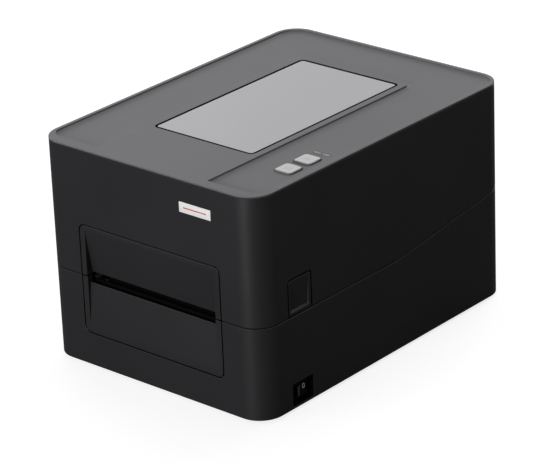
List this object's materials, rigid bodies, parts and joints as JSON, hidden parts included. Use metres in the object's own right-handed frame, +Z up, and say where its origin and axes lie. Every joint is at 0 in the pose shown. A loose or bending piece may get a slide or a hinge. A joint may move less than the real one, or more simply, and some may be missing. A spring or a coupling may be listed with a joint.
{
  "type": "thermal label printer",
  "caption": "Desktop thermal label printer: clamshell lid with window and keys, geared platen, sprung print head, centring roll holders and a front exit slot.",
  "frame": {"origin": "on the table under the middle of the housing", "axes": "+Z up, front face with the exit slot towards -Y, +X to the right seen from the front"},
  "size_m": [0.214, 0.295, 0.18],
  "materials": {
    "black_plastic": "fine matt grain",
    "side_black": "fine matt grain",
    "top_grey": "fine matt grain",
    "pane_grey": "satin translucent",
    "key_grey": "matt",
    "badge_white": "gloss print on film",
    "gasket_black": "matt",
    "foot_rubber": "matt",
    "platen_rubber": "ground",
    "sheet_steel": "zinc plated",
    "shaft_steel": "ground",
    "spring_steel": "drawn wire",
    "blackened_steel": "blackened",
    "gear_plastic": "acetal",
    "brass": "turned",
    "head_aluminium": "extruded",
    "ceramic": "glazed",
    "motor_black": "painted",
    "inner_plastic": "moulded",
    "holder_plastic": "moulded",
    "board_green": "solder mask",
    "switch_black": "moulded",
    "lens_grey": "clear lens"
  },
  "bodies": {
    "base": {"base_tub": "side_black", "rubber_feet": "foot_rubber", "lower_front_bezel": "black_plastic", "bezel_screws": "sheet_steel", "left_side_plate": "sheet_steel", "right_side_plate": "sheet_steel", "plate_screws": "sheet_steel", "tear_bar": "blackened_steel", "platen_bushes": "gear_plastic", "idler_stud": "shaft_steel", "stepper_motor": "motor_black", "motor_screws": "sheet_steel", "media_tray": "inner_plastic", "tray_screws": "sheet_steel", "sensor_rail": "shaft_steel", "pinion_screw": "sheet_steel", "main_board": "board_green", "board_screws": "sheet_steel", "dc_jack": "switch_black", "usb_port": "sheet_steel", "switch_housing": "switch_black"},
    "platen": {"platen_roller": "platen_rubber", "platen_shaft": "shaft_steel", "platen_gear": "gear_plastic"},
    "idler": {"idler_gear": "gear_plastic"},
    "motor_rotor": {"motor_shaft": "shaft_steel", "motor_pinion": "brass"},
    "sensor": {"gap_sensor": "switch_black"},
    "holder_left": {"roll_holder_left": "holder_plastic", "hub_screws_left": "sheet_steel"},
    "holder_right": {"roll_holder_right": "holder_plastic", "hub_screws_right": "sheet_steel"},
    "hub_left": {"roll_hub_left": "holder_plastic"},
    "hub_right": {"roll_hub_right": "holder_plastic"},
    "pinion": {"centring_pinion": "gear_plastic"},
    "rocker": {"power_rocker": "switch_black"},
    "lid": {"lid_shell": "black_plastic", "top_panel": "top_grey", "window_pane": "pane_grey", "window_gasket": "gasket_black", "upper_front_bezel": "black_plastic", "lid_inner_frame": "inner_plastic", "frame_screws": "sheet_steel", "head_bracket": "sheet_steel", "head_pivot_pins": "shaft_steel", "head_springs": "spring_steel", "latch_spring_left": "spring_steel", "latch_spring_right": "spring_steel", "hinge_pins": "shaft_steel", "led_lens": "lens_grey", "key_board": "board_green", "key_board_screws": "sheet_steel", "badge_plate": "badge_white"},
    "print_head": {"print_head": "head_aluminium", "heating_element": "ceramic"},
    "latch_left": {"latch_button_left": "side_black"},
    "latch_right": {"latch_button_right": "side_black"},
    "feed_key": {"feed_key": "key_grey"},
    "pause_key": {"pause_key": "key_grey"}
  },
  "joints": [
    {"name": "lid_hinge", "type": "hinge", "parent": "base", "child": "lid", "pos_m": [0, 0.1385, 0.10192], "axis": [-1, 0, 0], "range_deg": [0, 85]},
    {"name": "latch_left_press", "type": "slide", "parent": "lid", "child": "latch_left", "axis": [1, 0, 0], "range_m": [0, 0.0025], "stiffness_N_per_m": 500, "springref_m": -0.002, "deforming": ["latch_spring_left"]},
    {"name": "latch_right_press", "type": "slide", "parent": "lid", "child": "latch_right", "axis": [-1, 0, 0], "range_m": [0, 0.0025], "stiffness_N_per_m": 500, "springref_m": -0.002, "deforming": ["latch_spring_right"]},
    {"name": "head_pivot", "type": "hinge", "parent": "lid", "child": "print_head", "pos_m": [0, -0.098, 0.085], "axis": [-1, 0, 0], "range_deg": [0, 4], "stiffness_Nm_per_rad": 2.5, "springref_deg": -6.88, "deforming": ["head_springs"]},
    {"name": "feed_key_press", "type": "slide", "parent": "lid", "child": "feed_key", "axis": [0, 0, -1], "range_m": [0, 0.0007], "stiffness_N_per_m": 500, "springref_m": -0.0006},
    {"name": "pause_key_press", "type": "slide", "parent": "lid", "child": "pause_key", "axis": [0, 0, -1], "range_m": [0, 0.0007], "stiffness_N_per_m": 500, "springref_m": -0.0006},
    {"name": "power_switch", "type": "hinge", "parent": "base", "child": "rocker", "pos_m": [0.0998, -0.103, 0.0136], "axis": [0, 0, -1], "range_deg": [0, 14]},
    {"name": "platen_spin", "type": "hinge", "parent": "base", "child": "platen", "pos_m": [0, -0.127, 0.0655], "axis": [1, 0, 0], "continuous": true},
    {"name": "idler_spin", "type": "hinge", "parent": "base", "child": "idler", "pos_m": [-0.074, -0.1153, 0.05156], "axis": [1, 0, 0], "continuous": true},
    {"name": "motor_spin", "type": "hinge", "parent": "base", "child": "motor_rotor", "pos_m": [-0.06, -0.11095, 0.03533], "axis": [1, 0, 0], "continuous": true},
    {"name": "sensor_slide", "type": "slide", "parent": "base", "child": "sensor", "axis": [1, 0, 0], "range_m": [-0.03, 0.03]},
    {"name": "holder_left_slide", "type": "slide", "parent": "base", "child": "holder_left", "axis": [1, 0, 0], "range_m": [0, 0.045]},
    {"name": "holder_right_slide", "type": "slide", "parent": "base", "child": "holder_right", "axis": [-1, 0, 0], "range_m": [0, 0.045]},
    {"name": "centring_pinion_spin", "type": "hinge", "parent": "base", "child": "pinion", "pos_m": [0, 0.005, 0.0195], "axis": [0, 0, 1], "range_deg": [0, 330]},
    {"name": "hub_left_spin", "type": "hinge", "parent": "holder_left", "child": "hub_left", "pos_m": [-0.052, 0.005, 0.088], "axis": [1, 0, 0], "continuous": true},
    {"name": "hub_right_spin", "type": "hinge", "parent": "holder_right", "child": "hub_right", "pos_m": [0.052, 0.005, 0.088], "axis": [1, 0, 0], "continuous": true}
  ],
  "couplings": [
    {"joint": "idler_spin", "follows": "platen_spin", "ratio": -2.25},
    {"joint": "motor_spin", "follows": "platen_spin", "ratio": 6.75},
    {"joint": "holder_right_slide", "follows": "holder_left_slide", "ratio": 1},
    {"joint": "centring_pinion_spin", "follows": "holder_left_slide", "rad_per_m": 125}
  ]
}
